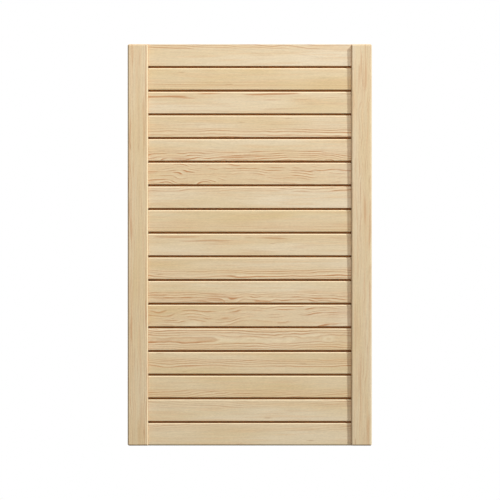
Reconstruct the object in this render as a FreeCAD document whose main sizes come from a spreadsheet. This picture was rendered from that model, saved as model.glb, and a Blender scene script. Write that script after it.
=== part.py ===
import FreeCAD, Part
import os
import PartDesign
import Sketcher
import Spreadsheet

# Wardrobe door with closed louvres: two stiles, two rails, lapped slats, dowels and two butt hinges.
# Millimetres and degrees. +Z is up and the front faces -Y.
# The origin lies at the bottom edge, midway across the width and midway through the whole depth.

SIZES = (
    ("leaf_width", 394),
    ("leaf_height", 648),
    ("leaf_thickness", 21),
    ("stile_width", 33),
    ("top_rail_height", 35.1),
    ("bottom_rail_height", 36.2),
    ("rail_back_recess", 2),
    ("arris_chamfer", 1.9),
    ("end_chamfer", 1.9),
    ("rail_crown_chamfer", 0.3),
    ("rail_toe_chamfer", 1.9),
    ("slat_count", 15),
    ("slat_tilt", 1),
    ("slat_gap", 3.5),
    ("slat_lap", 5),
    ("slat_lip", 5),
    ("slat_shoulder_chamfer", 1.4),
    ("slat_nose_chamfer", 0.4),
    ("lap_clearance", 0.4),
    ("head_clearance", 1),
    ("groove_front_wall", 5.8),
    ("groove_back_wall", 3.75),
    ("groove_depth", 9),
    ("groove_clearance", 0.25),
    ("end_clearance", 0.5),
    ("tenon_clearance", 0.1),
    ("dowel_diameter", 6),
    ("dowel_length", 36),
    ("dowel_in_stile", 15),
    ("dowel_spacing", 14),
    ("dowel_clearance", 0.05),
    ("dowel_end_gap", 1),
    ("dowel_chamfer", 0.8),
    ("hinge_inset", 90),
    ("hinge_edge_inset", 3.2),
    ("hinge_height", 40),
    ("hinge_gap", 1.6),
    ("wing_width", 18),
    ("wing_thickness", 2),
    ("gain_clearance", 0.3),
    ("knuckle_count", 5),
    ("knuckle_diameter", 5),
    ("knuckle_play", 0.3),
    ("pin_diameter", 2.6),
    ("pin_play", 0.05),
    ("pin_chamfer", 0.3),
    ("screw_from_axis", 11),
    ("door_screw_spacing", 20),
    ("carcass_screw_spacing", 28),
    ("screw_hole_diameter", 3.2),
    ("screw_head_diameter", 5.6),
    ("screw_head_play", 0.1),
    ("screw_shank_diameter", 2.8),
    ("screw_length", 14),
    ("screw_point", 3),
    ("screw_slot_width", 0.8),
    ("screw_slot_depth", 0.8),
    ("pilot_play", 0.05),
)

# What follows from the sizes. Each value may use the ones above it.
LAYOUT = (
    ("front_y", "-(Sizes.leaf_thickness + Sizes.hinge_gap + Sizes.wing_thickness) / 2"),
    ("back_y", "front_y + Sizes.leaf_thickness"),
    ("opening_half", "Sizes.leaf_width / 2 - Sizes.stile_width"),
    ("groove_floor", "opening_half + Sizes.groove_depth"),
    ("groove_front", "front_y + Sizes.groove_front_wall"),
    ("groove_back", "back_y - Sizes.groove_back_wall"),
    ("groove_middle", "(groove_front + groove_back) / 2"),
    ("lean_sin", "sin(Sizes.slat_tilt)"),
    ("lean_cos", "cos(Sizes.slat_tilt)"),
    ("lean_tan", "tan(Sizes.slat_tilt)"),
    ("top_rail_z", "Sizes.leaf_height - Sizes.top_rail_height"),
    ("first_slat_z", "Sizes.bottom_rail_height + Sizes.slat_gap"),
    ("slat_pitch", "(top_rail_z - first_slat_z) / Sizes.slat_count"),
    ("slat_y", "groove_front + Sizes.groove_clearance / 2"),
    ("slat_face", "slat_pitch * lean_cos - Sizes.slat_gap"),
    ("slat_height", "slat_pitch * lean_cos + Sizes.slat_lap"),
    ("slat_room", "groove_back - groove_front - Sizes.groove_clearance"),
    ("slat_thickness", "(slat_room - slat_height * lean_sin) / lean_cos"),
    ("tongue_front", "Sizes.slat_lip + Sizes.lap_clearance - slat_pitch * lean_sin"),
    ("tenon_end", "groove_floor - Sizes.end_clearance"),
    ("rail_back", "back_y - Sizes.rail_back_recess"),
    ("below_first_z", "first_slat_z - slat_pitch"),
    ("rebate_rise", "Sizes.slat_lap + Sizes.head_clearance"),
    ("rebate_z", "top_rail_z + rebate_rise * lean_cos - Sizes.slat_lip * lean_sin"),
    ("bottom_dowel_z", "Sizes.bottom_rail_height / 2"),
    ("top_dowel_z", "(rebate_z + Sizes.leaf_height) / 2"),
    ("dowel_middle", "groove_floor + Sizes.dowel_in_stile - Sizes.dowel_length / 2"),
    ("dowel_bore", "Sizes.dowel_diameter + 2 * Sizes.dowel_clearance"),
    ("hinge_x", "Sizes.hinge_edge_inset - Sizes.leaf_width / 2"),
    ("hinge_y", "back_y + Sizes.hinge_gap / 2"),
    ("lower_hinge_z", "Sizes.hinge_inset"),
    ("upper_hinge_z", "Sizes.leaf_height - Sizes.hinge_inset"),
    ("wing_near", "Sizes.knuckle_diameter / 2 + Sizes.knuckle_play"),
    ("wing_inside", "Sizes.hinge_gap / 2"),
    ("wing_outside", "wing_inside + Sizes.wing_thickness"),
    ("knuckle_room", "Sizes.hinge_height - (Sizes.knuckle_count - 1) * Sizes.knuckle_play"),
    ("knuckle_height", "knuckle_room / Sizes.knuckle_count"),
    ("knuckle_pitch", "knuckle_height + Sizes.knuckle_play"),
    ("gain_half", "Sizes.hinge_height / 2 + Sizes.gain_clearance"),
    ("gain_floor", "back_y - Sizes.wing_thickness"),
    ("gain_end", "hinge_x + Sizes.wing_width + Sizes.gain_clearance"),
    ("screw_x", "hinge_x + Sizes.screw_from_axis"),
    ("screw_head_radius", "Sizes.screw_head_diameter / 2"),
    ("screw_shank_radius", "Sizes.screw_shank_diameter / 2"),
    ("pilot_depth", "Sizes.screw_length - Sizes.wing_thickness + Sizes.screw_point / 2"),
)

HINGES = ("lower", "upper")
CARCASS_KNUCKLES = "(Sizes.knuckle_count + 1) / 2"
DOOR_KNUCKLES = "(Sizes.knuckle_count - 1) / 2"

doc = FreeCAD.newDocument("louvered_door")
sheet = doc.addObject("Spreadsheet::Sheet", "Sizes")
for row, (alias, value) in enumerate(SIZES, 1):
    sheet.set(f"A{row}", str(value))
    sheet.setAlias(f"A{row}", alias)
doc.recompute()

layout = doc.addObject("App::VarSet", "Layout")
for alias, expression in LAYOUT:
    layout.addProperty("App::PropertyFloat", alias)
    layout.setExpression(alias, expression)
doc.recompute()

pieces = []


def number(expression):
    return float(layout.evalExpression(expression))


def new_body(name):
    return doc.addObject("PartDesign::Body", name)


def origin_feature(body, role):
    return next(feature for feature in body.Origin.OriginFeatures if feature.Role == role)


def sketch_on(body, role, offset="0"):
    """A sketch on one of the body's origin planes, moved along that plane's normal."""
    sketch = body.newObject("Sketcher::SketchObject", f"{body.Name}_sketch")
    sketch.AttachmentSupport = [(origin_feature(body, role), "")]
    sketch.MapMode = "FlatFace"
    sketch.setExpression("AttachmentOffset.Base.z", offset)
    return sketch


def pin_point(sketch, geometry, point, across, up):
    """Ties a point of a sketch to its distances from the sketch's origin."""
    for kind, expression in (("DistanceX", across), ("DistanceY", up)):
        constraint = Sketcher.Constraint(kind, -1, 1, geometry, point, number(expression))
        index = sketch.addConstraint(constraint)
        sketch.setExpression(f"Constraints[{index}]", expression)


def outline(sketch, corners):
    """A closed outline of straight lines, each corner an (across, up) pair of expressions."""
    points = [FreeCAD.Vector(number(across), number(up), 0) for across, up in corners]
    first = sketch.GeometryCount
    for start, end in zip(points, points[1:] + points[:1]):
        sketch.addGeometry(Part.LineSegment(start, end))
    for index, (across, up) in enumerate(corners):
        before = first + (index - 1) % len(corners)
        sketch.addConstraint(Sketcher.Constraint("Coincident", before, 2, first + index, 1))
        pin_point(sketch, first + index, 1, across, up)


def rectangle(sketch, left, right, low, high):
    outline(sketch, [(left, low), (right, low), (right, high), (left, high)])


def circle(sketch, across, up, diameter):
    centre = FreeCAD.Vector(number(across), number(up), 0)
    geometry = sketch.addGeometry(Part.Circle(centre, FreeCAD.Vector(0, 0, 1), number(diameter) / 2))
    pin_point(sketch, geometry, 3, across, up)
    index = sketch.addConstraint(Sketcher.Constraint("Diameter", geometry, number(diameter)))
    sketch.setExpression(f"Constraints[{index}]", diameter)


def pad(body, sketch, length, symmetric=False, backwards=False):
    feature = body.newObject("PartDesign::Pad", f"{body.Name}_pad")
    feature.Profile = sketch
    feature.setExpression("Length", length)
    feature.SideType = "Symmetric" if symmetric else "One side"
    feature.Reversed = backwards
    doc.recompute()
    return feature


def pocket(body, sketch, depth, symmetric=False, backwards=False):
    """Cuts a sketch into the body, and stops the build if nothing was cut."""
    before = body.Shape.Volume
    feature = body.newObject("PartDesign::Pocket", f"{body.Name}_pocket")
    feature.Profile = sketch
    feature.setExpression("Length", depth)
    feature.SideType = "Symmetric" if symmetric else "One side"
    feature.Reversed = backwards
    doc.recompute()
    if body.Shape.Volume > before - 1e-6:
        raise ValueError(f"a pocket of {body.Name} cuts nothing")
    return feature


def revolve(body, sketch, axis):
    feature = body.newObject("PartDesign::Revolution", f"{body.Name}_turned")
    feature.Profile = sketch
    feature.ReferenceAxis = (sketch, [axis])
    feature.Angle = 360
    doc.recompute()
    return feature


def mirror_across(body, originals):
    """Repeats features on the other side of the body's YZ plane."""
    feature = body.newObject("PartDesign::Mirrored", f"{body.Name}_mirrored")
    feature.Originals = originals
    feature.MirrorPlane = (origin_feature(body, "YZ_Plane"), [""])
    body.Tip = feature
    doc.recompute()
    return feature


def repeat_up(body, originals, count, pitch):
    """Repeats features upwards along Z."""
    feature = body.newObject("PartDesign::LinearPattern", f"{body.Name}_row")
    feature.Originals = originals
    feature.Direction = (origin_feature(body, "Z_Axis"), [""])
    feature.setExpression("Length", f"({count} - 1) * {pitch}")
    feature.setExpression("Occurrences", count)
    body.Tip = feature
    doc.recompute()
    return feature


def edges_where(shape, test):
    """Names of the edges whose end points all pass a test."""
    names = []
    for index, edge in enumerate(shape.Edges, 1):
        if all(test(vertex.Point) for vertex in edge.Vertexes):
            names.append(f"Edge{index}")
    if not names:
        raise ValueError("no edge was found to dress")
    return names


def chamfer(body, size, test):
    """Cuts a slope on the edges of the body's last feature that pass a test."""
    base = body.Tip
    feature = body.newObject("PartDesign::Chamfer", f"{body.Name}_chamfer")
    feature.Base = (base, edges_where(base.Shape, test))
    feature.setExpression("Size", size)
    doc.recompute()
    return feature


def near(value, expression):
    return abs(value - number(expression)) < 1e-4


def place(piece, across, back, up):
    for axis, expression in (("x", across), ("y", back), ("z", up)):
        piece.setExpression(f"Placement.Base.{axis}", expression)


def keep(piece):
    doc.recompute()
    pieces.append(piece)


def group(name, members):
    """Several separate solids under one name."""
    compound = doc.addObject("Part::Compound", name)
    compound.Links = members
    keep(compound)


def leaned(back, up, base_z):
    """Where a point of a slat lies: back from its face and up along it, for a slat that starts at base_z."""
    y = f"Layout.slat_y + ({back}) * Layout.lean_cos + ({up}) * Layout.lean_sin"
    z = f"{base_z} + ({up}) * Layout.lean_cos - ({back}) * Layout.lean_sin"
    return y, z


def dowel_heights(middle):
    return [f"{middle} {sign} Sizes.dowel_spacing / 2" for sign in "-+"]


# Stiles

def make_stile(name, side):
    """An upright with a groove for the slat ends and holes for the dowels. Side is - on the left."""
    outer = f"{side}Sizes.leaf_width / 2"
    inner = f"{side}Layout.opening_half"
    floor = f"{side}Layout.groove_floor"
    body = new_body(name)
    section = sketch_on(body, "XY_Plane")
    rectangle(section, outer, inner, "Layout.front_y", "Layout.back_y")
    pad(body, section, "Sizes.leaf_height")
    ease_long_edges(body)
    low, high = (outer, inner) if side == "-" else (inner, outer)
    slope_ends(body, "XZ_Plane", low, high)
    slope_ends(body, "YZ_Plane", "Layout.front_y", "Layout.back_y")
    groove = sketch_on(body, "XY_Plane")
    rectangle(groove, floor, inner, "Layout.groove_front", "Layout.groove_back")
    pocket(body, groove, "Sizes.leaf_height", backwards=True)
    holes = sketch_on(body, "YZ_Plane", floor)
    for middle in ("Layout.bottom_dowel_z", "Layout.top_dowel_z"):
        for height in dowel_heights(middle):
            circle(holes, "Layout.groove_middle", height, "Layout.dowel_bore")
    pocket(body, holes, "Sizes.dowel_in_stile + Sizes.dowel_end_gap", backwards=side != "-")
    return body


def ease_long_edges(body):
    """Chamfers the four upright edges of a stile."""
    base = body.Tip
    height = number("Sizes.leaf_height")
    upright = []
    for index, edge in enumerate(base.Shape.Edges, 1):
        if abs(edge.Length - height) < 1e-6 and abs(edge.BoundBox.ZLength - height) < 1e-6:
            upright.append(f"Edge{index}")
    feature = body.newObject("PartDesign::Chamfer", f"{body.Name}_Chamfer")
    feature.Base = (base, upright)
    feature.setExpression("Size", "Sizes.arris_chamfer")
    doc.recompute()


def slope_ends(body, role, low, high):
    """Cuts a slope along two opposite edges of each end of a stile."""
    cuts = sketch_on(body, role)
    for across, inward in ((low, "+"), (high, "-")):
        for end, upward in (("0", "+"), ("Sizes.leaf_height", "-")):
            inside = (f"{across} {inward} Sizes.end_chamfer", end)
            above = (across, f"{end} {upward} Sizes.end_chamfer")
            outline(cuts, [(across, end), inside, above])
    pocket(body, cuts, "2 * Sizes.leaf_width", symmetric=True)


def let_in_hinges(body):
    """Cuts a shallow seat for each hinge, open to the outer edge, and the pilot holes in its floor."""
    seats = sketch_on(body, "XZ_Plane", "-Layout.back_y")
    pilots = sketch_on(body, "XZ_Plane", "-Layout.gain_floor")
    for level in HINGES:
        middle = f"Layout.{level}_hinge_z"
        low = f"{middle} - Layout.gain_half"
        high = f"{middle} + Layout.gain_half"
        rectangle(seats, "-Sizes.leaf_width / 2 - Sizes.gain_clearance", "Layout.gain_end", low, high)
        for sign in "-+":
            height = f"{middle} {sign} Sizes.door_screw_spacing / 2"
            circle(pilots, "Layout.screw_x", height, "Sizes.screw_shank_diameter + 2 * Sizes.pilot_play")
    pocket(body, seats, "Sizes.wing_thickness", backwards=True)
    pocket(body, pilots, "Layout.pilot_depth", backwards=True)


# Slats and rails

def make_slat(index):
    """A leaning board with a lip in front of the slat below and a tongue behind the slat above."""
    body = new_body(f"slat_{index + 1:02d}")
    section = sketch_on(body, "YZ_Plane")
    outline(section, [
        ("0", "0"),
        ("Sizes.slat_lip", "0"),
        ("Sizes.slat_lip", "Sizes.slat_lap"),
        ("Layout.slat_thickness", "Sizes.slat_lap"),
        ("Layout.slat_thickness", "Layout.slat_height"),
        ("Layout.tongue_front", "Layout.slat_height"),
        ("Layout.tongue_front", "Layout.slat_face"),
        ("0", "Layout.slat_face"),
    ])
    pad(body, section, "2 * Layout.tenon_end", symmetric=True)
    chamfer(body, "Sizes.slat_shoulder_chamfer", lambda p: near(p.y, "0") and near(p.z, "Layout.slat_face"))
    chamfer(body, "Sizes.slat_nose_chamfer", lambda p: near(p.y, "0") and near(p.z, "0"))
    body.Placement = FreeCAD.Placement(FreeCAD.Vector(), FreeCAD.Rotation(FreeCAD.Vector(-1, 0, 0), 1))
    body.setExpression("Placement.Rotation.Angle", "Sizes.slat_tilt")
    place(body, "0", "Layout.slat_y", f"Layout.first_slat_z + {index} * Layout.slat_pitch")
    keep(body)


def make_rail(name, corners, eased, tenon_low, tenon_high, dowel_middle):
    """A cross board with a stub tenon and two dowel holes at each end."""
    body = new_body(name)
    section = sketch_on(body, "YZ_Plane")
    outline(section, corners)
    pad(body, section, "2 * Layout.opening_half", symmetric=True)
    for size, (across, up) in eased:
        chamfer(body, size, lambda p: near(p.y, across) and near(p.z, up))
    stub = sketch_on(body, "YZ_Plane", "Layout.opening_half")
    front = "Layout.groove_front + Sizes.tenon_clearance"
    back = "Layout.groove_back - Sizes.tenon_clearance"
    rectangle(stub, front, back, tenon_low, tenon_high)
    tenon = pad(body, stub, "Layout.tenon_end - Layout.opening_half")
    holes = sketch_on(body, "YZ_Plane", "Layout.tenon_end")
    for height in dowel_heights(dowel_middle):
        circle(holes, "Layout.groove_middle", height, "Layout.dowel_bore")
    depth = "Sizes.dowel_length - Sizes.dowel_in_stile - Sizes.end_clearance + Sizes.dowel_end_gap"
    bores = pocket(body, holes, depth)
    mirror_across(body, [tenon, bores])
    keep(body)


def make_bottom_rail():
    base = "Layout.below_first_z"
    shoulder = leaned("0", "Layout.slat_face", base)
    tongue_foot = leaned("Layout.tongue_front", "Layout.slat_face", base)
    tongue_tip = leaned("Layout.tongue_front", "Layout.slat_height", base)
    tongue_back = leaned("Layout.slat_thickness", "Layout.slat_height", base)
    toe = (f"Layout.slat_y - {base} * Layout.lean_tan", "0")
    top = "Sizes.bottom_rail_height"
    corners = [toe, shoulder, tongue_foot, tongue_tip, tongue_back, (tongue_back[0], top),
               ("Layout.rail_back", top), ("Layout.rail_back", "0")]
    eased = [("Sizes.slat_shoulder_chamfer", shoulder), ("Sizes.rail_toe_chamfer", toe)]
    make_rail("bottom_rail", corners, eased, "0", top, "Layout.bottom_dowel_z")


def make_top_rail():
    base = "Layout.top_rail_z"
    nose = leaned("0", "0", base)
    lip_back = leaned("Sizes.slat_lip", "0", base)
    rebate = leaned("Sizes.slat_lip", "Layout.rebate_rise", base)
    crown = ("Layout.slat_y + Sizes.top_rail_height * Layout.lean_tan", "Sizes.leaf_height")
    corners = [nose, lip_back, rebate, ("Layout.rail_back", "Layout.rebate_z"),
               ("Layout.rail_back", "Sizes.leaf_height"), crown]
    eased = [("Sizes.slat_nose_chamfer", nose), ("Sizes.rail_crown_chamfer", crown)]
    make_rail("top_rail", corners, eased, "Layout.rebate_z", "Sizes.leaf_height", "Layout.top_dowel_z")


def make_dowels(name, middle):
    dowels = []
    for side in "-+":
        for height in dowel_heights(middle):
            body = new_body("dowel")
            face = sketch_on(body, "YZ_Plane")
            circle(face, "0", "0", "Sizes.dowel_diameter")
            pad(body, face, "Sizes.dowel_length", symmetric=True)
            chamfer(body, "Sizes.dowel_chamfer", lambda p: abs(p.x) > 1)
            place(body, f"{side}Layout.dowel_middle", "Layout.groove_middle", height)
            dowels.append(body)
    group(name, dowels)


# Hinges. Each piece is drawn about the pin, which stands on Z through the middle of the hinge.

def make_wing(level, kind, side, first_knuckle, knuckles, spacing, bore):
    """A hinge wing with its share of the knuckles. Side is - for the door wing, which lies in front."""
    front_wing = side == "-"
    body = new_body(f"{level}_hinge_{kind}_wing")
    inside = f"{side}Layout.wing_inside"
    outside = f"{side}Layout.wing_outside"
    plate = sketch_on(body, "XY_Plane")
    rectangle(plate, "Layout.wing_near", "Sizes.wing_width", inside, outside)
    pad(body, plate, "Sizes.hinge_height", symmetric=True)
    start = f"{first_knuckle} * Layout.knuckle_pitch - Sizes.hinge_height / 2"
    web_face = sketch_on(body, "XY_Plane", start)
    rectangle(web_face, "0", "Layout.wing_near", inside, outside)
    web = pad(body, web_face, "Layout.knuckle_height")
    barrel_face = sketch_on(body, "XY_Plane", start)
    circle(barrel_face, "0", "0", "Sizes.knuckle_diameter")
    barrel = pad(body, barrel_face, "Layout.knuckle_height")
    repeat_up(body, [web, barrel], knuckles, "2 * Layout.knuckle_pitch")
    hollow = sketch_on(body, "XY_Plane")
    circle(hollow, "0", "0", bore)
    pocket(body, hollow, "2 * Sizes.hinge_height", symmetric=True)
    sink_holes(body, inside, spacing, front_wing)
    place(body, "Layout.hinge_x", "Layout.hinge_y", f"Layout.{level}_hinge_z")
    keep(body)


def sink_holes(body, inside, spacing, forwards):
    """Two countersunk screw holes, sunk from the side that faces the other wing."""
    before = body.Shape.Volume
    centres = sketch_on(body, "XZ_Plane", f"-({inside})")
    for sign in "-+":
        circle(centres, "Sizes.screw_from_axis", f"{sign}{spacing} / 2", "Sizes.screw_hole_diameter")
    doc.recompute()
    hole = body.newObject("PartDesign::Hole", f"{body.Name}_hole")
    hole.Profile = centres
    doc.recompute()
    hole.Threaded = False
    hole.setExpression("Diameter", "Sizes.screw_hole_diameter")
    hole.DepthType = "ThroughAll"
    hole.HoleCutType = "Countersink"
    hole.setExpression("HoleCutDiameter", "Sizes.screw_head_diameter + Sizes.screw_head_play")
    hole.HoleCutCountersinkAngle = 90
    hole.Reversed = forwards
    doc.recompute()
    if body.Shape.Volume > before - 1e-6:
        raise ValueError(f"the screw holes of {body.Name} cut nothing")


def make_pin(level):
    body = new_body(f"{level}_hinge_pin")
    radius = "Sizes.pin_diameter / 2"
    half = "Sizes.hinge_height / 2"
    section = sketch_on(body, "XZ_Plane")
    outline(section, [
        ("0", f"-{half}"),
        (f"{radius} - Sizes.pin_chamfer", f"-{half}"),
        (radius, f"-{half} + Sizes.pin_chamfer"),
        (radius, f"{half} - Sizes.pin_chamfer"),
        (f"{radius} - Sizes.pin_chamfer", half),
        ("0", half),
    ])
    revolve(body, section, "V_Axis")
    place(body, "Layout.hinge_x", "Layout.hinge_y", f"Layout.{level}_hinge_z")
    keep(body)


def make_screw(up):
    """A slotted countersunk wood screw that points forward, its head flush with the wing."""
    body = new_body("screw")
    section = sketch_on(body, "XY_Plane")
    outline(section, [
        ("0", "0"),
        ("Layout.screw_head_radius", "0"),
        ("Layout.screw_shank_radius", "Layout.screw_shank_radius - Layout.screw_head_radius"),
        ("Layout.screw_shank_radius", "Sizes.screw_point - Sizes.screw_length"),
        ("0", "-Sizes.screw_length"),
    ])
    revolve(body, section, "V_Axis")
    slot = sketch_on(body, "XZ_Plane")
    rectangle(slot, "-Sizes.screw_slot_width / 2", "Sizes.screw_slot_width / 2",
              "-Sizes.screw_head_diameter", "Sizes.screw_head_diameter")
    pocket(body, slot, "Sizes.screw_slot_depth", backwards=True)
    place(body, "Layout.screw_x", "Layout.back_y", up)
    return body


def make_hinge(level):
    tight = "Sizes.pin_diameter"
    loose = "Sizes.pin_diameter + 2 * Sizes.pin_play"
    make_wing(level, "door", "-", "1", DOOR_KNUCKLES, "Sizes.door_screw_spacing", loose)
    make_wing(level, "carcass", "", "0", CARCASS_KNUCKLES, "Sizes.carcass_screw_spacing", tight)
    make_pin(level)
    middle = f"Layout.{level}_hinge_z"
    screws = [make_screw(f"{middle} {sign} Sizes.door_screw_spacing / 2") for sign in "-+"]
    group(f"{level}_hinge_door_screws", screws)


# The whole door

def export(piece):
    shape = piece.Shape
    if shape.isNull() or not shape.isValid() or not shape.Solids:
        raise ValueError(f"{piece.Label} has no sound solid")
    shape.exportStep(f"parts/{piece.Label}.step")


left_stile = make_stile("left_stile", "-")
let_in_hinges(left_stile)
keep(left_stile)
keep(make_stile("right_stile", ""))
make_bottom_rail()
make_top_rail()
for slat in range(int(number("Sizes.slat_count"))):
    make_slat(slat)
make_dowels("bottom_rail_dowels", "Layout.bottom_dowel_z")
make_dowels("top_rail_dowels", "Layout.top_dowel_z")
for hinge in HINGES:
    make_hinge(hinge)

doc.recompute()
for item in doc.Objects:
    if "Invalid" in item.State or "Error" in item.State:
        raise ValueError(f"{item.Label} did not build")
os.makedirs("parts", exist_ok=True)
for piece in pieces:
    export(piece)
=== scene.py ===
import math
import bmesh
import bpy
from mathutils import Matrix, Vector


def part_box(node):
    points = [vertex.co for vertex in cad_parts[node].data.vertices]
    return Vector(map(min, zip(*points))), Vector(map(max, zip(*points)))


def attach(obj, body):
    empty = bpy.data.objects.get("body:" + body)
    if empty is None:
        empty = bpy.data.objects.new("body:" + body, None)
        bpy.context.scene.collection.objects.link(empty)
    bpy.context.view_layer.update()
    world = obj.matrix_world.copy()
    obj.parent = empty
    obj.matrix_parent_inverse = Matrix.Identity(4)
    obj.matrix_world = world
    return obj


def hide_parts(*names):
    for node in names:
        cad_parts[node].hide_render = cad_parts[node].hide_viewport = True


# Pine wardrobe door with closed slats, seen straight from the front against white.

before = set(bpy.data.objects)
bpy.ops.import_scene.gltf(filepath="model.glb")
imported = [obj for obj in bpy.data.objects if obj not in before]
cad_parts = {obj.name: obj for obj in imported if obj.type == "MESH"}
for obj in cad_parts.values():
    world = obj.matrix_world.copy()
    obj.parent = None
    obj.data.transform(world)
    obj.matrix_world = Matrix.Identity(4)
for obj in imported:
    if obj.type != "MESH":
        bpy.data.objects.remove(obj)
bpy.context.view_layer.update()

# Sizes in metres and radians

SLAT_COUNT = 15
SLAT_LEAN = math.radians(1)
SLAT_GAP = 0.0035
SLAT_LAP = 0.005
SLAT_LIP = 0.005
LAP_CLEARANCE = 0.0004
SHOULDER_CHAMFER = 0.0014
NOSE_CHAMFER = 0.0004
EASED_EDGE = 0.0003
RAIL_SHOULDER = 0.0362
SHARP_ANGLE = math.radians(32)

# How each board was cut, from the top of the door down, in metres.
# The pith is the middle of the tree: how far it lies in front of the board's face, how far above the
# board's middle, or right of it on a stile, and how much farther off it gets for each metre of board.
# The grain is the waviness of the rings, how strongly the dark late growth shows, and the board's paleness.
# The zone is a band along the board in which the rings show in full: its middle, half its width, and how
# much of the rings shows outside it, which is over 1 where the band is the calm part of the board.
# The figure is how much the rings swirl in short turns, how strongly spindle-shaped streaks show, and the
# number of rings to a metre.
BOARD_CUTS = (
    ("top_rail", (0.030, -0.005, 0.03), (0.0016, 1.20, 0.80), (0.0145, 0.004, 0.18), (0.5, 0.0, 480)),
    ("slat_15", (0.040, -0.046, 0.004), (0.0006, 0.45, -0.34), (-0.010, 0.008, 0.05), (0.0, 0.0, 480)),
    ("slat_14", (0.030, -0.030, 0.010), (0.0012, 0.40, 0.48), (0.010, 0.0055, 0.25), (0.4, 0.80, 480)),
    ("slat_13", (0.030, -0.028, 0.006), (0.0018, 1.95, 0.40), (-0.011, 0.007, 0.16), (0.4, 0.0, 480)),
    ("slat_12", (0.020, -0.025, -0.02), (0.0014, 2.25, 0.38), (-0.009, 0.008, 0.05), (1.1, 0.50, 440)),
    ("slat_11", (0.026, -0.026, 0.03), (0.0016, 1.50, 0.46), (0.000, 0.020, 0.60), (1.45, 0.15, 300)),
    ("slat_10", (0.032, -0.006, -0.03), (0.0016, 1.80, 0.92), (0.0135, 0.004, 0.18), (0.5, 0.0, 480)),
    ("slat_09", (0.042, -0.047, -0.004), (0.0006, 0.60, -0.15), (-0.010, 0.008, 0.05), (0.0, 0.0, 480)),
    ("slat_08", (0.031, -0.031, -0.010), (0.0012, 0.40, 0.52), (0.009, 0.0045, 0.25), (0.4, 0.56, 480)),
    ("slat_07", (0.031, -0.028, -0.006), (0.0018, 1.50, 0.36), (-0.010, 0.007, 0.16), (0.4, 0.0, 480)),
    ("slat_06", (0.021, -0.025, 0.02), (0.0014, 1.72, 0.38), (-0.008, 0.008, 0.05), (1.1, 0.50, 440)),
    ("slat_05", (0.027, -0.025, -0.03), (0.0016, 1.12, 0.30), (0.000, 0.020, 0.60), (1.45, 0.15, 300)),
    ("slat_04", (0.019, 0.000, 0.005), (0.0015, 1.95, 0.52), (0.000, 0.030, 1.00), (0.5, 0.0, 580)),
    ("slat_03", (0.030, -0.019, 0.004), (0.0022, 1.75, -0.10), (-0.001, 0.006, 0.08), (0.3, 0.0, 480)),
    ("slat_02", (0.030, -0.040, -0.06), (0.0012, 1.15, -0.30), (-0.011, 0.006, 0.08), (0.8, 0.0, 480)),
    ("slat_01", (0.032, 0.036, -0.04), (0.0012, 0.75, 0.55), (0.010, 0.006, 0.08), (0.3, 0.0, 480)),
    ("bottom_rail", (0.032, 0.034, 0.05), (0.0012, 0.85, 0.52), (0.007, 0.006, 0.08), (0.4, 0.0, 480)),
)
STILE_CUTS = (
    ("left_stile", (0.030, -0.050, 0.01), (0.0012, 0.25, 0.06), (0.0010, 0.0085, 2.40), (0.8, 0.20, 300)),
    ("right_stile", (0.026, 0.024, 0.012), (0.0014, 0.28, 0.40), (-0.0110, 0.0080, 2.00), (1.1, 0.20, 360)),
)
CUT_PARTS = ("Pith", "Grain", "Zone", "Figure")
# How much paler a board gets for each metre to the right, or upwards on a stile, where it does.
BOARD_FADES = {
    "top_rail": 3.8,
    "slat_14": -1.0,
    "slat_11": 6.0,
    "slat_10": 3.0,
    "slat_09": -1.5,
    "slat_07": 3.0,
    "slat_05": 6.0,
    "slat_04": -2.5,
    "left_stile": 0.6,
    "right_stile": 0.5,
}
# Each board starts somewhere else in the same endless wood.
FIRST_SLAT_SEED = 1.0
SLAT_SEED_STEP = 2.3
FIRST_BOARD_SEED = 50.0
BOARD_SEED_STEP = 4.1
SEED_STRIDE = 3.7


# Colours

def srgb(red, green, blue):
    """A colour given as 0 to 255 on screen, in the linear values that shaders use."""
    channels = []
    for level in (red, green, blue):
        share = level / 255
        channels.append(share / 12.92 if share <= 0.04045 else ((share + 0.055) / 1.055) ** 2.4)
    return (*channels, 1.0)


CREAM = srgb(235, 216, 183)
HONEY = srgb(226, 200, 153)
BLUSH = srgb(229, 196, 154)
LATE_GROWTH = srgb(195, 135, 88)
RESIN = srgb(176, 128, 84)
END_GRAIN = srgb(196, 158, 112)
# Painted shade in the slat gaps and at the board ends
PAINTED_SHADE_BROWN = srgb(204, 140, 76)
# Painted shade in the stiles' corners and slopes, and along the slats' back joints
PAINTED_DEEP_SHADE = srgb(150, 112, 72)
# Pale early growth, and pale rubbed edges that are partly a painted highlight
PALE_EDGE = srgb(250, 233, 198)
BRASS_BRIGHT = srgb(188, 160, 112)
BRASS_DULL = srgb(140, 114, 76)
STEEL_BRIGHT = srgb(186, 188, 192)
STEEL_DULL = srgb(128, 130, 134)
BEECH_PALE = srgb(214, 176, 136)
BEECH_DARK = srgb(180, 136, 96)
WHITE = (1.0, 1.0, 1.0, 1.0)
WARM_WHITE = (1.0, 0.78, 0.56, 1.0)
FLOOR_GREY = (0.15, 0.15, 0.15, 1.0)

# Wood lies between cream at 0 and honey at 1. The palest boards go this far past cream, away from honey.
PALEST = -0.4
# A paleness of 1 moves a board this far from honey to cream.
PALENESS_REACH = 0.6

# How fine each pattern is: cells to a metre along the grain, in depth and across, or in X, Y and Z on metal

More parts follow.
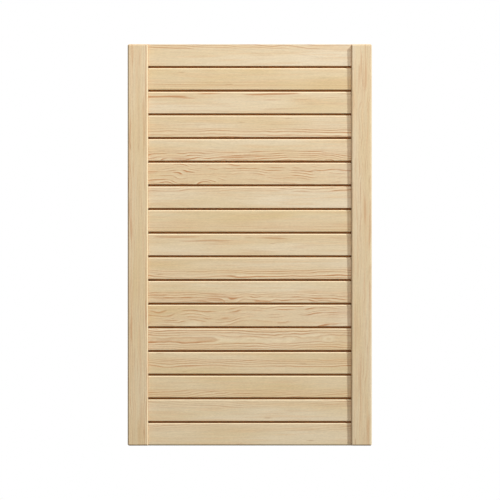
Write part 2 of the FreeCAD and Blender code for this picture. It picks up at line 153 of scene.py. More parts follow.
FIBRES = (70, 1100, 1100)
STREAKS = (20, 380, 380)
FLECKS = (260, 900, 900)
RING_WAVES = (11, 28, 28)
RING_TURNS = (34, 80, 80)
RING_EDDIES = (26, 30, 30)
TURN_PATCHES = (9, 14, 14)
RING_PATCHES = (7, 45, 45)
RING_BREAKS = (30, 120, 120)
SPINDLES = (12, 270, 270)
HONEY_ZONES = (5, 40, 40)
PINK_ZONES = (10, 240, 240)
RESIN_MARKS = (26, 260, 260)
BEECH_GROUND = (30, 300, 300)
BEECH_FLECKS = (400, 2600, 2600)
TARNISH = (160, 160, 110)
DRAWN_LINES = (5200, 5200, 160)
# Nearly all of a noise lies in this range.
NOISE_SPAN = (0.3, 0.7)

# How much fibres, streaks and flecks darken and lighten the wood

FIBRE_SHADES = (0.955, 1.03)
STREAK_SHADES = (0.972, 1.022)
FLECK_SHADES = (0.962, 1.036)

# Rings: how far they bend, how their widths vary, and how they tint, polish and raise the surface

WAVE_SPREAD = 4.0
TURN_SIZE = 0.004
EDDY_GAIN = 1.3
WIDTH_CHANGES = 130.0
WIDTH_SPREAD = 1.6
PINK_SHARE = 0.25
MOST_PINK = 0.3
EARLY_SHARE = 0.5
LATE_POLISH = 0.08
LATE_RELIEF = 0.6
FIBRE_RELIEF = 0.5

# Darker wood at the end grain, and painted shade: how strong each is, and from where to where it grows, as
# depths or distances from an edge

END_GRAIN_STRENGTH = 0.6
PAINTED_SHADE_STRENGTH = 0.85
DEEP_SHADE_STRENGTH = 0.8
GAP_START = -0.0002
GAP_SOFTNESS = 0.0005
SLOPE_SHADE_DEPTHS = (0.0004, 0.0016)
SLOPE_SHADE_STRENGTH = 0.6
BOARD_END_FAR = 0.0014
BOARD_END_NEAR = 0.0004
BOARD_END_SHADE_STRENGTH = 0.42
BACK_JOINT_FAR = 0.0011
BACK_JOINT_NEAR = 0.0003
BACK_JOINT_SHADE_STRENGTH = 0.75

# How pale the rubbed edges are, which also paints a highlight on the lit chamfers

STILE_RUB_AND_HIGHLIGHT = 0.35
RAIL_RUB_AND_HIGHLIGHT = 0.5
SLAT_RUB_AND_HIGHLIGHT = 0.7


# Node helpers

def feed(tree, socket, source):
    """Links a socket to another, or gives it a plain value."""
    if isinstance(source, bpy.types.NodeSocket):
        tree.links.new(source, socket)
    else:
        socket.default_value = source


def add(tree, kind, sockets=None, **settings):
    """Adds a node, sets its properties and feeds its inputs."""
    node = tree.nodes.new(kind)
    for name, setting in settings.items():
        setattr(node, name, setting)
    for key, source in (sockets or {}).items():
        feed(tree, node.inputs[key], source)
    return node


def calc(tree, operation, *values):
    sockets = dict(enumerate(values))
    return add(tree, "ShaderNodeMath", sockets, operation=operation).outputs[0]


def times(tree, first, *others):
    """The product of all values."""
    product = first
    for value in others:
        product = calc(tree, "MULTIPLY", product, value)
    return product


def vector(tree, x, y, z):
    return add(tree, "ShaderNodeCombineXYZ", {"X": x, "Y": y, "Z": z}).outputs[0]


def parts_of(tree, source):
    return add(tree, "ShaderNodeSeparateXYZ", {"Vector": source}).outputs


def stretch(tree, place, scale):
    """Scales a place, so that a pattern runs long in one direction and fine in the others."""
    return add(tree, "ShaderNodeVectorMath", {0: place, 1: scale}, operation="MULTIPLY").outputs[0]


def shift(tree, place, offset):
    return add(tree, "ShaderNodeVectorMath", {0: place, 1: offset}, operation="ADD").outputs[0]


def ease(tree, source, low, high, to_low=0.0, to_high=1.0):
    """Maps a value from one range to another with soft ends."""
    sockets = {"Value": source, "From Min": low, "From Max": high, "To Min": to_low, "To Max": to_high}
    return add(tree, "ShaderNodeMapRange", sockets, interpolation_type="SMOOTHSTEP").outputs[0]


def noise(tree, place, scale, detail=2.0, roughness=0.5):
    """A soft noise: its level, then its colour, whose channels are noises of their own."""
    stretched = stretch(tree, place, scale)
    sockets = {"Vector": stretched, "Scale": 1.0, "Detail": detail, "Roughness": roughness}
    return add(tree, "ShaderNodeTexNoise", sockets, noise_dimensions="3D").outputs


def cells(tree, place, scale):
    sockets = {"Vector": stretch(tree, place, scale), "Scale": 1.0}
    return add(tree, "ShaderNodeTexVoronoi", sockets).outputs


def blend(tree, factor, first, second, **settings):
    sockets = {0: factor, 6: first, 7: second}
    return add(tree, "ShaderNodeMix", sockets, data_type="RGBA", **settings).outputs[2]


def new_material(name):
    material = bpy.data.materials.new(name)
    material.use_nodes = True
    material.node_tree.nodes.clear()
    return material


def finish_surface(tree, looks, relief, strength, distance):
    """A surface with these looks and a fine relief of that strength and depth."""
    bump = add(tree, "ShaderNodeBump", {"Height": relief, "Strength": strength, "Distance": distance})
    surface = add(tree, "ShaderNodeBsdfPrincipled", {"Normal": bump.outputs[0], **looks})
    add(tree, "ShaderNodeOutputMaterial", {"Surface": surface.outputs[0]})


# Pine

def make_grain_sockets(tree):
    """What the grain is told about a board, and what it gives back."""
    for name in ("Place", *CUT_PARTS):
        tree.interface.new_socket(name, in_out="INPUT", socket_type="NodeSocketVector")
    for name in ("Seed", "Fade", "End grain", "Gap", "Corner", "Arris"):
        tree.interface.new_socket(name, in_out="INPUT", socket_type="NodeSocketFloat")
    tree.interface.new_socket("Colour", in_out="OUTPUT", socket_type="NodeSocketColor")
    for name in ("Roughness", "Relief"):
        tree.interface.new_socket(name, in_out="OUTPUT", socket_type="NodeSocketFloat")
    return add(tree, "NodeGroupInput").outputs


def make_pine_grain():
    """Growth rings around a pith, cut by the board's own faces, with fibres and resin streaks."""
    tree = bpy.data.node_groups.new("pine_grain", "ShaderNodeTree")
    given = make_grain_sockets(tree)
    waviness, contrast, paleness = parts_of(tree, given["Grain"])
    swirl, streaks, density = parts_of(tree, given["Figure"])
    along, _, across = parts_of(tree, given["Place"])
    own_start = vector(tree, times(tree, given["Seed"], SEED_STRIDE), given["Seed"], 0.0)
    place = shift(tree, given["Place"], own_start)

    bent_deep, bent_across = make_ring_bend(tree, place, waviness, swirl)
    bent_place = shift(tree, given["Place"], vector(tree, 0.0, bent_deep, bent_across))
    radius, steepness = measure_from_pith(tree, bent_place, given["Pith"])
    late, early = make_rings(tree, radius, density, place, given["Seed"], swirl)
    late = times(tree, late, ease(tree, steepness, 0.05, 0.40, 0.2, 1.0))
    zone = make_zone(tree, across, given["Zone"])
    shown = times(tree, contrast, zone)
    spindles = times(tree, make_spindles(tree, place), streaks, zone)
    late_shown = calc(tree, "MAXIMUM", times(tree, late, shown), spindles)

    fibre, shade = make_fibres(tree, place)
    faded = calc(tree, "MULTIPLY_ADD", along, given["Fade"], paleness)
    colour = make_board_colour(tree, place, faded)
    layers = (
        (calc(tree, "MINIMUM", times(tree, shown, PINK_SHARE), MOST_PINK), BLUSH),
        (times(tree, early, shown, EARLY_SHARE), PALE_EDGE),
        (late_shown, LATE_GROWTH),
        (make_resin_streaks(tree, place), RESIN),
        # Pale rubbed edges, partly a painted highlight on the lit chamfers
        (given["Arris"], PALE_EDGE),
        (times(tree, given["End grain"], END_GRAIN_STRENGTH), END_GRAIN),
        # Painted shade in the slat gaps and at the board ends by the stiles
        (times(tree, given["Gap"], PAINTED_SHADE_STRENGTH), PAINTED_SHADE_BROWN),
        # Painted shade in the stiles' corners and slopes, and along the slats' back joints
        (times(tree, given["Corner"], DEEP_SHADE_STRENGTH), PAINTED_DEEP_SHADE),
    )
    for share, tint in layers:
        colour = blend(tree, share, colour, tint)
    colour = blend(tree, 1.0, colour, vector(tree, shade, shade, shade), blend_type="MULTIPLY")

    rough = ease(tree, fibre, 0.25, 0.75, 0.50, 0.66)
    rough = calc(tree, "SUBTRACT", rough, times(tree, late_shown, LATE_POLISH))
    relief = calc(tree, "MULTIPLY_ADD", late_shown, LATE_RELIEF, times(tree, fibre, FIBRE_RELIEF))
    add(tree, "NodeGroupOutput", {"Colour": colour, "Roughness": rough, "Relief": relief})
    return tree


def make_ring_bend(tree, place, waviness, swirl):
    """How far the rings wander in depth and across: in long waves, in short turns and in eddies."""
    waves = parts_of(tree, noise(tree, place, RING_WAVES)[1])
    turns = parts_of(tree, noise(tree, place, RING_TURNS, detail=1.0)[1])
    eddies = parts_of(tree, noise(tree, place, RING_EDDIES, detail=0.0)[1])
    upset = ease(tree, noise(tree, place, TURN_PATCHES, detail=0.0)[0], 0.40, 0.58, 0.3, 1.0)
    wave_size = times(tree, waviness, WAVE_SPREAD)
    turn_size = times(tree, swirl, upset, TURN_SIZE)
    eddy_size = times(tree, swirl, turn_size, EDDY_GAIN)
    bends = []
    for channel in (0, 1):
        bend = 0.0
        for bent, size in ((waves, wave_size), (turns, turn_size), (eddies, eddy_size)):
            centred = calc(tree, "SUBTRACT", bent[channel], 0.5)
            bend = calc(tree, "MULTIPLY_ADD", centred, size, bend)
        bends.append(bend)
    return bends


def measure_from_pith(tree, place, pith):
    """How far a place is from the pith, and how steeply the rings meet the board's face there."""
    along, deep, across = parts_of(tree, place)
    pith_front, pith_across, pith_drift = parts_of(tree, pith)
    to_face = calc(tree, "MULTIPLY_ADD", along, pith_drift, pith_front)
    side = calc(tree, "ADD", deep, to_face)
    rise = calc(tree, "SUBTRACT", across, pith_across)
    sockets = {0: vector(tree, side, rise, 0.0)}
    radius = add(tree, "ShaderNodeVectorMath", sockets, operation="LENGTH").outputs["Value"]
    steepness = calc(tree, "DIVIDE", calc(tree, "ABSOLUTE", rise), radius)
    return radius, steepness


def make_rings(tree, radius, density, place, seed, swirl):
    """Thin dark late growth that ends sharply at each year's ring, and the pale early growth after it.

    Where the rings swirl, they show in shorter marks.
    """
    spread_sockets = {"W": calc(tree, "MULTIPLY_ADD", radius, WIDTH_CHANGES, seed), "Scale": 1.0}
    spread = add(tree, "ShaderNodeTexNoise", spread_sockets, noise_dimensions="1D").outputs[0]
    years = calc(tree, "ADD", times(tree, radius, density), times(tree, spread, WIDTH_SPREAD))
    season = calc(tree, "FRACT", years)
    late = times(tree, ease(tree, season, 0.56, 0.85), ease(tree, season, 0.92, 1.0, 1.0, 0.0))
    early = times(tree, ease(tree, season, 0.0, 0.10), ease(tree, season, 0.15, 0.45, 1.0, 0.0))
    year_number = calc(tree, "ADD", calc(tree, "FLOOR", years), seed)
    luck = add(tree, "ShaderNodeTexWhiteNoise", {"W": year_number}, noise_dimensions="1D").outputs[0]
    strength = calc(tree, "MULTIPLY_ADD", luck, 0.5, 0.5)
    patch = ease(tree, noise(tree, place, RING_PATCHES, detail=1.0)[0], 0.34, 0.60, 0.35, 1.0)
    blank = ease(tree, noise(tree, place, RING_BREAKS, detail=1.0)[0], 0.42, 0.60, 0.65, 0.0)
    unbroken = calc(tree, "SUBTRACT", 1.0, times(tree, swirl, blank))
    shown = times(tree, strength, patch, unbroken)
    return times(tree, late, shown), times(tree, early, shown)


def make_zone(tree, across, zone):
    """How much of the rings shows, from all of it in the zone to what is left outside."""
    middle, half, rest = parts_of(tree, zone)
    from_middle = calc(tree, "ABSOLUTE", calc(tree, "SUBTRACT", across, middle))
    return ease(tree, calc(tree, "DIVIDE", from_middle, half), 0.6, 1.4, 1.0, rest)


def make_spindles(tree, place):
    """Spindle-shaped streaks, where the face runs along the late growth of one year."""
    return ease(tree, noise(tree, place, SPINDLES, detail=1.0)[0], 0.56, 0.68)


def make_fibres(tree, place):
    """The fine fibres, and the shade that fibres, streaks and flecks give the wood together."""
    fibre = noise(tree, place, FIBRES, detail=3.0, roughness=0.6)[0]
    streak = noise(tree, place, STREAKS, roughness=0.6)[0]
    fleck = noise(tree, place, FLECKS, detail=1.0)[0]
    patterns = ((fibre, FIBRE_SHADES), (streak, STREAK_SHADES), (fleck, FLECK_SHADES))
    shades = [ease(tree, pattern, *NOISE_SPAN, *limits) for pattern, limits in patterns]
    return fibre, times(tree, *shades)


def make_board_colour(tree, place, paleness):
    """Cream to honey in broad soft zones along the board, with a little pink."""
    zone = ease(tree, noise(tree, place, HONEY_ZONES)[0], *NOISE_SPAN, 0.15, 0.85)
    level = calc(tree, "SUBTRACT", zone, times(tree, paleness, PALENESS_REACH))
    level = add(tree, "ShaderNodeClamp", {"Value": level, "Min": PALEST, "Max": 1.0}).outputs[0]
    colour = blend(tree, level, CREAM, HONEY, clamp_factor=False)
    pink = ease(tree, noise(tree, place, PINK_ZONES)[0], 0.48, 0.66, 0.0, 0.45)
    return blend(tree, pink, colour, BLUSH)


def make_resin_streaks(tree, place):
    """Short thin resin marks, few and far between."""
    marks = cells(tree, place, RESIN_MARKS)
    rare = ease(tree, parts_of(tree, marks["Color"])[0], 0.90, 0.97)
    core = ease(tree, marks["Distance"], 0.06, 0.26, 0.55, 0.0)
    return times(tree, rare, core)


PINE_GRAIN = make_pine_grain()


def finish_pine(tree, sockets):
    """Puts the grain on the surface, with its roughness and a fine relief."""
    wood = add(tree, "ShaderNodeGroup", node_tree=PINE_GRAIN)
    for name, source in sockets.items():
        feed(tree, wood.inputs[name], source)
    looks = {
        "Base Color": wood.outputs["Colour"],
        "Roughness": wood.outputs["Roughness"],
        "Specular IOR Level": 0.35,
    }
    finish_surface(tree, looks, wood.outputs["Relief"], strength=0.35, distance=0.0002)


# Where the pine is darker or paler than its board: end grain, painted shade, and rubbed edges with a
# painted highlight

def end_grain_share(tree, normal, axis):
    """One on faces that cut straight across the grain, less on slopes at the ends, nothing elsewhere."""
    return ease(tree, calc(tree, "ABSOLUTE", parts_of(tree, normal)[axis]), 0.6, 0.9)


def corner_share(tree, normal, deep):
    """Painted shade on a stile: on sides that face right, and deep in the slopes that face left."""
    to_right, to_back, _ = parts_of(tree, normal)
    side = ease(tree, to_right, 0.8, 0.95)
    facing_left = ease(tree, to_right, -0.6, -0.4, 1.0, 0.0)
    facing_front = ease(tree, to_back, -0.6, -0.4, 1.0, 0.0)
    depth = ease(tree, deep, *SLOPE_SHADE_DEPTHS, 0.0, SLOPE_SHADE_STRENGTH)
    return calc(tree, "MAXIMUM", side, times(tree, facing_left, facing_front, depth))


def board_end_share(tree, x):
    """Painted shade on a board where it meets the stiles."""
    end = -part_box("left_stile")[1][0]
    from_middle = calc(tree, "ABSOLUTE", x)
    return ease(tree, from_middle, end - BOARD_END_FAR, end - BOARD_END_NEAR, 0.0, BOARD_END_SHADE_STRENGTH)


def gap_share(tree, height, level, normal):
    """Painted shade: one in the gap above a board's shoulder, and nothing on the back or inside the lap."""
    gap_start = level + GAP_START
    lap_start = level + SLAT_GAP + SLAT_LAP / 2
    above = ease(tree, height, gap_start, gap_start + GAP_SOFTNESS)
    below = ease(tree, height, lap_start, lap_start + GAP_SOFTNESS, 1.0, 0.0)
    in_front = ease(tree, parts_of(tree, normal)[1], 0.2, 0.5, 1.0, 0.0)
    return times(tree, above, below, in_front)


def dark_share(tree, x, height, gap_level, normal):
    """Painted shade on a board: in the gap above its shoulder, where it has one, and at its ends."""
    end = board_end_share(tree, x)
    return calc(tree, "MAXIMUM", gap_share(tree, height, gap_level, normal), end) if gap_level else end


def back_joint_share(tree, height, face_height, normal):
    """Painted shade on a slat's back along its upper and lower edge, where it meets the next slats."""
    middle = SLAT_LAP + SLAT_GAP / 2
    half = (face_height + SLAT_GAP) / 2
    away = calc(tree, "ABSOLUTE", calc(tree, "SUBTRACT", height, middle))
    edge = ease(tree, away, half - BACK_JOINT_FAR, half - BACK_JOINT_NEAR, 0.0, BACK_JOINT_SHADE_STRENGTH)
    return times(tree, edge, ease(tree, parts_of(tree, normal)[1], 0.4, 0.6))


def arris_share(tree, normal, axis, paleness):
    """Pale rubbed long edges, partly a painted highlight: only on the slopes, halfway between face and
    sides.
    """
    facing = calc(tree, "ABSOLUTE", parts_of(tree, normal)[1])
    off_side = ease(tree, facing, 0.45, 0.6)
    off_face = ease(tree, facing, 0.8, 0.95, paleness, 0.0)
    long_edge = ease(tree, calc(tree, "ABSOLUTE", parts_of(tree, normal)[axis]), 0.2, 0.4)
    return times(tree, off_side, off_face, long_edge)


# Pine for each kind of board

def start_board_pine(name, middle):
    """A new material, with the place on the board and the way its surface faces."""
    material = new_material(f"pine_{name}")
    coords = add(material.node_tree, "ShaderNodeTexCoord").outputs
    place = parts_of(material.node_tree, shift(material.node_tree, coords["Object"], tuple(-middle)))
    return material, place, coords["Normal"]


def make_stile_pine(name, middle, cut, seed):
    """Pine for an upright board, whose grain runs along Z."""
    material, (x, y, z), normal = start_board_pine(name, middle)
    tree = material.node_tree
    finish_pine(tree, {
        **dict(zip(CUT_PARTS, cut)),
        "Place": vector(tree, z, y, x),
        "Seed": seed,
        "Fade": BOARD_FADES.get(name, 0.0),
        "End grain": end_grain_share(tree, normal, 2),
        # Painted shade in the stile's corners and left-facing slopes
        "Corner": corner_share(tree, normal, y),
        "Arris": arris_share(tree, normal, 0, STILE_RUB_AND_HIGHLIGHT),
    })
    return material


def make_rail_pine(name, middle, cut, seed):
    """Pine for a level board, whose grain runs along X. Only the bottom rail has a gap above it."""
    material, (x, y, z), normal = start_board_pine(name, middle)
    tree = material.node_tree
    # The bottom rail gets painted shade in the gap above its shoulder
    gap_level = RAIL_SHOULDER - middle.z if name == "bottom_rail" else None
    finish_pine(tree, {
        **dict(zip(CUT_PARTS, cut)),
        "Place": vector(tree, x, y, z),
        "Seed": seed,
        "Fade": BOARD_FADES.get(name, 0.0),
        "End grain": end_grain_share(tree, normal, 0),
        "Gap": dark_share(tree, x, z, gap_level, normal),
        "Arris": arris_share(tree, normal, 2, RAIL_RUB_AND_HIGHLIGHT),
    })
    return material


def carried(tree, name):
    """What a slat's mesh carries under that name."""
    return add(tree, "ShaderNodeAttribute", attribute_name=name).outputs["Vector"]


def make_slat_pine(face_height, face_depth):
    """Pine for all slats, each with the cut that its mesh carries."""
    material, (x, y, z), normal = start_board_pine("slats", Vector((0.0, face_depth, 0.0)))
    tree = material.node_tree
    board_height, seed, fade = parts_of(tree, carried(tree, "board_place"))
    height = calc(tree, "SUBTRACT", z, board_height)
    finish_pine(tree, {
        **{part: carried(tree, part.lower()) for part in CUT_PARTS},
        "Place": vector(tree, x, y, height),
        "Seed": seed,
        "Fade": fade,
        "End grain": end_grain_share(tree, normal, 0),
        # Painted shade in the gaps, at the board ends and along the back joints
        "Gap": dark_share(tree, x, height, face_height / 2, normal),
        "Corner": back_joint_share(tree, height, face_height, normal),
        "Arris": arris_share(tree, normal, 2, SLAT_RUB_AND_HIGHLIGHT),
    })
    return material


# Metal and beech

def make_metal(name, bright, dull, roughness):
    """Drawn metal with fine lines along its length and dull spots."""
    material = new_material(name)
    tree = material.node_tree
    place = add(tree, "ShaderNodeTexCoord").outputs["Object"]
    tarnish = noise(tree, place, TARNISH, detail=4.0, roughness=0.6)[0]
    lines = noise(tree, place, DRAWN_LINES)[0]
    colour = blend(tree, ease(tree, tarnish, 0.42, 0.72, 0.1, 0.9), bright, dull)
    rough = ease(tree, lines, 0.25, 0.75, roughness - 0.08, roughness + 0.10)
    rough = calc(tree, "ADD", rough, ease(tree, tarnish, 0.45, 0.75, 0.0, 0.16))
    looks = {"Base Color": colour, "Roughness": rough, "Metallic": 1.0}
    finish_surface(tree, looks, lines, strength=0.25, distance=0.00005)
    return material


def make_beech():
    """Beech dowel wood: short dark flecks on an even warm ground, grain along X."""
    material = new_material("beech")
    tree = material.node_tree
    place = add(tree, "ShaderNodeTexCoord").outputs["Object"]
    ground = noise(tree, place, BEECH_GROUND, detail=3.0)[0]
    fleck = ease(tree, cells(tree, place, BEECH_FLECKS)["Distance"], 0.1, 0.3, 0.5, 0.0)
    colour = blend(tree, ease(tree, ground, *NOISE_SPAN), BEECH_PALE, BEECH_DARK)
    colour = blend(tree, fleck, colour, BEECH_DARK)
    rough = ease(tree, ground, 0.2, 0.8, 0.5, 0.7)
    looks = {"Base Color": colour, "Roughness": rough}
    finish_surface(tree, looks, ground, strength=0.3, distance=0.0001)
    return material


# Slats

SLAT_INPUTS = (
    ("Count", "NodeSocketInt"),
    ("First slat", "NodeSocketVector"),
    ("Pitch", "NodeSocketFloat"),
    ("Lean", "NodeSocketFloat"),
    ("Length", "NodeSocketFloat"),
    ("Face height", "NodeSocketFloat"),
    ("Whole height", "NodeSocketFloat"),
    ("Thickness", "NodeSocketFloat"),
    ("Lip", "NodeSocketFloat"),
    ("Lap", "NodeSocketFloat"),
    ("Tongue front", "NodeSocketFloat"),
    ("Shoulder chamfer", "NodeSocketFloat"),
    ("Nose chamfer", "NodeSocketFloat"),
    ("Eased edge", "NodeSocketFloat"),
)


def pick_by_index(tree, kind, choices):
    """A value for each point of a line, by the point's number."""
    node = add(tree, "GeometryNodeIndexSwitch", data_type=kind)
    while len(node.index_switch_items) < len(choices):
        node.index_switch_items.new()
    feed(tree, node.inputs["Index"], add(tree, "GeometryNodeInputIndex").outputs[0])
    for number, choice in enumerate(choices):
        feed(tree, node.inputs[str(number)], choice)
    return node.outputs[0]


def draw_section(tree, given):
    """A slat's closed section, with depth along X and height along Y, and a slope at each corner."""
    corners = (
        (0.0, 0.0),
        (given["Lip"], 0.0),
        (given["Lip"], given["Lap"]),
        (given["Thickness"], given["Lap"]),
        (given["Thickness"], given["Whole height"]),
        (given["Tongue front"], given["Whole height"]),
        (given["Tongue front"], given["Face height"]),
        (0.0, given["Face height"]),
    )
    eased = [given["Eased edge"]] * (len(corners) - 2)
    chamfers = [given["Nose chamfer"], *eased, given["Shoulder chamfer"]]
    line = add(tree, "GeometryNodeMeshLine", {"Count": len(corners)})
    places = pick_by_index(tree, "VECTOR", [vector(tree, back, up, 0.0) for back, up in corners])
    points = add(tree, "GeometryNodeSetPosition", {"Geometry": line.outputs[0], "Position": places})
    curve = add(tree, "GeometryNodeMeshToCurve", {0: points.outputs[0]})
    closed = add(tree, "GeometryNodeSetSplineCyclic", {"Geometry": curve.outputs[0], "Cyclic": True})
    section = add(tree, "GeometryNodeFilletCurve", {
        "Curve": closed.outputs[0],
        "Count": 1,
        "Radius": pick_by_index(tree, "FLOAT", chamfers),
    }, mode="POLY")
    return section.outputs[0]


def sweep_board(tree, section, length):
    """The section swept to length and laid along X."""
    half = calc(tree, "MULTIPLY", length, 0.5)
    run = add(tree, "GeometryNodeCurvePrimitiveLine", {
        "Start": vector(tree, 0.0, 0.0, calc(tree, "MULTIPLY", half, -1.0)),
        "End": vector(tree, 0.0, 0.0, half),
    })
    swept = add(tree, "GeometryNodeCurveToMesh", {
        "Curve": run.outputs[0],
        "Profile Curve": section,
        "Fill Caps": True,
    })
    laid = add(tree, "GeometryNodeTransform", {
        "Geometry": swept.outputs[0],
        "Rotation": (math.pi / 2, 0.0, math.pi / 2),
    })
    return laid.outputs[0]


def make_slat_tree(material):
    """A lapped board drawn from its section, swept to length and repeated up the door."""
    tree = bpy.data.node_groups.new("slat_row", "GeometryNodeTree")
    for name, kind in SLAT_INPUTS:
        tree.interface.new_socket(name, in_out="INPUT", socket_type=kind)
    tree.interface.new_socket("Geometry", in_out="OUTPUT", socket_type="NodeSocketGeometry")
    given = add(tree, "NodeGroupInput").outputs
    board = sweep_board(tree, draw_section(tree, given), given["Length"])
    row = add(tree, "GeometryNodeMeshLine", {
        "Count": given["Count"],
        "Start Location": given["First slat"],
        "Offset": vector(tree, 0.0, 0.0, given["Pitch"]),
    })
    placed = add(tree, "GeometryNodeInstanceOnPoints", {
        "Points": row.outputs[0],
        "Instance": board,
        "Rotation": vector(tree, calc(tree, "MULTIPLY", given["Lean"], -1.0), 0.0, 0.0),
    })
    numbered = add(tree, "GeometryNodeStoreNamedAttribute", {
        "Geometry": placed.outputs[0],
        "Name": "board",
        "Value": add(tree, "GeometryNodeInputIndex").outputs[0],
    }, data_type="INT", domain="INSTANCE")
    solid = add(tree, "GeometryNodeRealizeInstances", {0: numbered.outputs[0]})
    dressed = add(tree, "GeometryNodeSetMaterial", {"Geometry": solid.outputs[0], "Material": material})
    add(tree, "NodeGroupOutput", {"Geometry": dressed.outputs[0]})
    return tree


def slat_sizes():
    """The slats' measures, taken from the solids that they stand for."""
    low, high = (Vector(corner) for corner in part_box("slat_01"))
    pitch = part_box("slat_02")[0][2] - low.z
    along_slat = pitch * math.cos(SLAT_LEAN)
    whole = along_slat + SLAT_LAP
    depth = high.y - low.y
    thickness = (depth - whole * math.sin(SLAT_LEAN)) / math.cos(SLAT_LEAN)
    return {
        "Count": SLAT_COUNT,
        "Pitch": pitch,
        "Lean": SLAT_LEAN,
        "Length": high.x - low.x,
        "Face height": along_slat - SLAT_GAP,
        "Whole height": whole,
        "Thickness": thickness,
        "Lip": SLAT_LIP,
        "Lap": SLAT_LAP,
        "Tongue front": SLAT_LIP + LAP_CLEARANCE - pitch * math.sin(SLAT_LEAN),
        "Shoulder chamfer": SHOULDER_CHAMFER,
        "Nose chamfer": NOSE_CHAMFER,
        "Eased edge": EASED_EDGE,
    }


def first_slat_corner(sizes):
    """The lowest front corner of the bottom slat, from its box and its lean."""
    low, high = (Vector(corner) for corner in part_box("slat_01"))
    top_back = sizes["Thickness"] * math.cos(SLAT_LEAN) + sizes["Whole height"] * math.sin(SLAT_LEAN)
    return (0.0, high.y - top_back, low.z + SLAT_LIP * math.sin(SLAT_LEAN))


def make_slats():
    sizes = slat_sizes()
    sizes["First slat"] = first_slat_corner(sizes)
    tree = make_slat_tree(make_slat_pine(sizes["Face height"], sizes["First slat"][1]))
    maker = bpy.data.objects.new("slat_maker", bpy.data.meshes.new("slat_maker"))
    bpy.context.collection.objects.link(maker)
    modifier = maker.modifiers.new("slats", "NODES")
    modifier.node_group = tree
    for socket in tree.interface.items_tree:
        if socket.in_out == "INPUT":
            modifier[socket.identifier] = sizes[socket.name]
    evaluated = maker.evaluated_get(bpy.context.evaluated_depsgraph_get())
    mesh = bpy.data.meshes.new_from_object(evaluated)
    bpy.data.objects.remove(maker)
    mesh.name = "slats"
    turn_faces_out(mesh)
    give_cuts(mesh, sizes)
    slats = bpy.data.objects.new("slats", mesh)
    bpy.context.collection.objects.link(slats)
    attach(slats, "leaf")
    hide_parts(*[f"slat_{number:02d}" for number in range(1, SLAT_COUNT + 1)])


def turn_faces_out(mesh):
    """Turns all faces outwards, and keeps the edges between them sharp."""
    work = bmesh.new()
    work.from_mesh(mesh)
    bmesh.ops.recalc_face_normals(work, faces=work.faces)
    work.to_mesh(mesh)
    work.free()
    mesh.shade_smooth()
    mesh.set_sharp_from_angle(angle=SHARP_ANGLE)


def give_cuts(mesh, sizes):
    """Writes each board's cut on its points, where the wood reads it."""
    numbers = [item.value for item in mesh.attributes["board"].data]
    cuts = {name: cut for name, *cut in BOARD_CUTS}
    first_middle = sizes["First slat"][2] + sizes["Face height"] / 2
    columns = {part.lower(): [] for part in CUT_PARTS}
    columns["board_place"] = []
    for number in numbers:
        name = f"slat_{number + 1:02d}"
        height = first_middle + number * sizes["Pitch"]
        seed = FIRST_SLAT_SEED + SLAT_SEED_STEP * number
        for part, values in zip(CUT_PARTS, cuts[name]):
            columns[part.lower()].extend(values)
        columns["board_place"].extend((height, seed, BOARD_FADES.get(name, 0.0)))
    for name, values in columns.items():
        mesh.attributes.new(name, "FLOAT_VECTOR", "POINT").data.foreach_set("vector", values)


# Stiles, rails, dowels and hinges keep their solids and get their finishes

def middle_of(name):
    low, high = (Vector(corner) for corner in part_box(name))
    return (low + high) / 2


def dress_node(name, material):
    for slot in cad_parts[name].material_slots:
        slot.material = material


def dress_boards():
    """Gives rails and stiles their pine, with depth measured from the front face."""
    rails = [cut for cut in BOARD_CUTS if cut[0].endswith("rail")]
    for number, (name, *cut) in enumerate((*rails, *STILE_CUTS)):
        make_pine = make_stile_pine if name.endswith("stile") else make_rail_pine
        middle = middle_of(name)
        middle.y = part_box(name)[0][1]
        dress_node(name, make_pine(name, middle, cut, FIRST_BOARD_SEED + BOARD_SEED_STEP * number))


def dress_hardware():
    brass = make_metal("satin_brass", BRASS_BRIGHT, BRASS_DULL, roughness=0.30)
    steel = make_metal("drawn_steel", STEEL_BRIGHT, STEEL_DULL, roughness=0.28)
    beech = make_beech()
    for level in ("lower", "upper"):
        for piece in ("door_wing", "carcass_wing", "door_screws"):
            dress_node(f"{level}_hinge_{piece}", brass)
        dress_node(f"{level}_hinge_pin", steel)
    for rail in ("bottom_rail", "top_rail"):
        dress_node(f"{rail}_dowels", beech)


# Floor, light and camera

FLOOR_DROP = 0.30
FLOOR_HALF = 1.9
CAMERA_DISTANCE = 10.0
FRAME_WIDTH = 0.8069
SENSOR_WIDTH_MM = 36.0
CAMERA_X = 0.0004
CAMERA_Z = 0.3158
KEY_DISTANCE = 20.0
KEY_DIRECTION = Vector((1.0, -0.72, 1.08)).normalized()
KEY_SIZE = 1.4
KEY_POWER = 3480.0
KEY_COLOUR = (0.925, 0.987, 0.997)
FILL_PLACE = Vector((0.28, -1.64, 1.9))
FILL_SIZE = 1.2
FILL_POWER = 25.5
FILL_COLOUR = (1.0, 0.97, 0.95)
BACK_PLACE = Vector((-0.4, 2.4, 1.3))
BACK_SIZE = 1.6
BACK_POWER = 45.0
AMBIENT = 0.14


def seen_directly(tree):
    """One for what the camera sees, straight, in a reflection or through something clear."""
    path = add(tree, "ShaderNodeLightPath").outputs
    mirrored = calc(tree, "MAXIMUM", path["Is Glossy Ray"], path["Is Transmission Ray"])
    return calc(tree, "MAXIMUM", path["Is Camera Ray"], mirrored)


def make_world():
    """White where it is seen, and a weak warm light from all around."""
    world = bpy.data.worlds.new("studio")
    bpy.context.scene.world = world
    world.use_nodes = True
    tree = world.node_tree
    tree.nodes.clear()
    strength = ease(tree, seen_directly(tree), 0.0, 1.0, AMBIENT, 1.0)
    colour = blend(tree, seen_directly(tree), WARM_WHITE, WHITE)
    background = add(tree, "ShaderNodeBackground", {"Color": colour, "Strength": strength})
    add(tree, "ShaderNodeOutputWorld", {"Surface": background.outputs[0]})


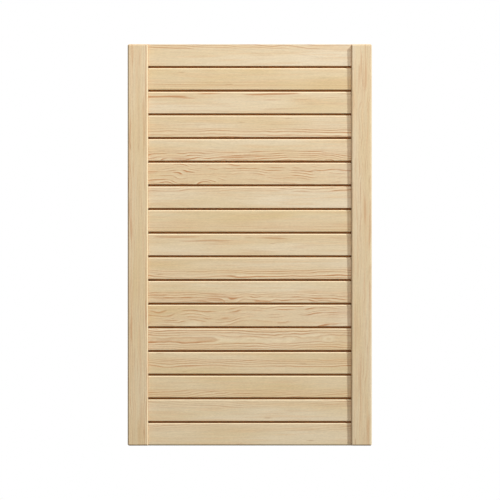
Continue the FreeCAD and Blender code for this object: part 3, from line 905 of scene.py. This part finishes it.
def make_floor():
    """A plain floor below the hung door. It shows as white, and throws little light back on the door."""
    mesh = bpy.data.meshes.new("floor")
    half, level = FLOOR_HALF, -FLOOR_DROP
    corners = [(-half, -half, level), (half, -half, level), (half, half, level), (-half, half, level)]
    mesh.from_pydata(corners, [], [(0, 1, 2, 3)])
    floor = bpy.data.objects.new("floor", mesh)
    bpy.context.collection.objects.link(floor)
    material = new_material("pale_floor")
    tree = material.node_tree
    shown = blend(tree, seen_directly(tree), FLOOR_GREY, WHITE)
    surface = add(tree, "ShaderNodeBsdfDiffuse", {"Color": shown})
    add(tree, "ShaderNodeOutputMaterial", {"Surface": surface.outputs[0]})
    mesh.materials.append(material)


def make_lamp(name, place, target, size, power, colour):
    lamp = bpy.data.lights.new(name, "AREA")
    lamp.shape = "DISK"
    lamp.size = size
    lamp.energy = power
    lamp.color = colour
    holder = bpy.data.objects.new(name, lamp)
    holder.location = place
    holder.rotation_euler = (place - target).to_track_quat("Z", "Y").to_euler()
    bpy.context.collection.objects.link(holder)


def make_lamps(target):
    """A key lamp high on the right, which casts the stile's shadow, and soft lamps in front and behind."""
    make_lamp("key", target + KEY_DIRECTION * KEY_DISTANCE, target, KEY_SIZE, KEY_POWER, KEY_COLOUR)
    make_lamp("fill", FILL_PLACE, target, FILL_SIZE, FILL_POWER, FILL_COLOUR)
    make_lamp("back", BACK_PLACE, target, BACK_SIZE, BACK_POWER, FILL_COLOUR)


def make_camera():
    """Far away with a long lens, so that there is hardly any perspective."""
    data = bpy.data.cameras.new("camera")
    data.sensor_width = SENSOR_WIDTH_MM
    data.lens = SENSOR_WIDTH_MM * CAMERA_DISTANCE / FRAME_WIDTH
    camera = bpy.data.objects.new("camera", data)
    camera.location = (CAMERA_X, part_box("left_stile")[0][1] - CAMERA_DISTANCE, CAMERA_Z)
    camera.rotation_euler = (math.pi / 2, 0.0, 0.0)
    bpy.context.collection.objects.link(camera)
    bpy.context.scene.camera = camera


make_slats()
dress_boards()
dress_hardware()
make_world()
make_floor()
make_lamps(middle_of("slat_08"))
make_camera()
bpy.context.scene.view_settings.view_transform = "Standard"
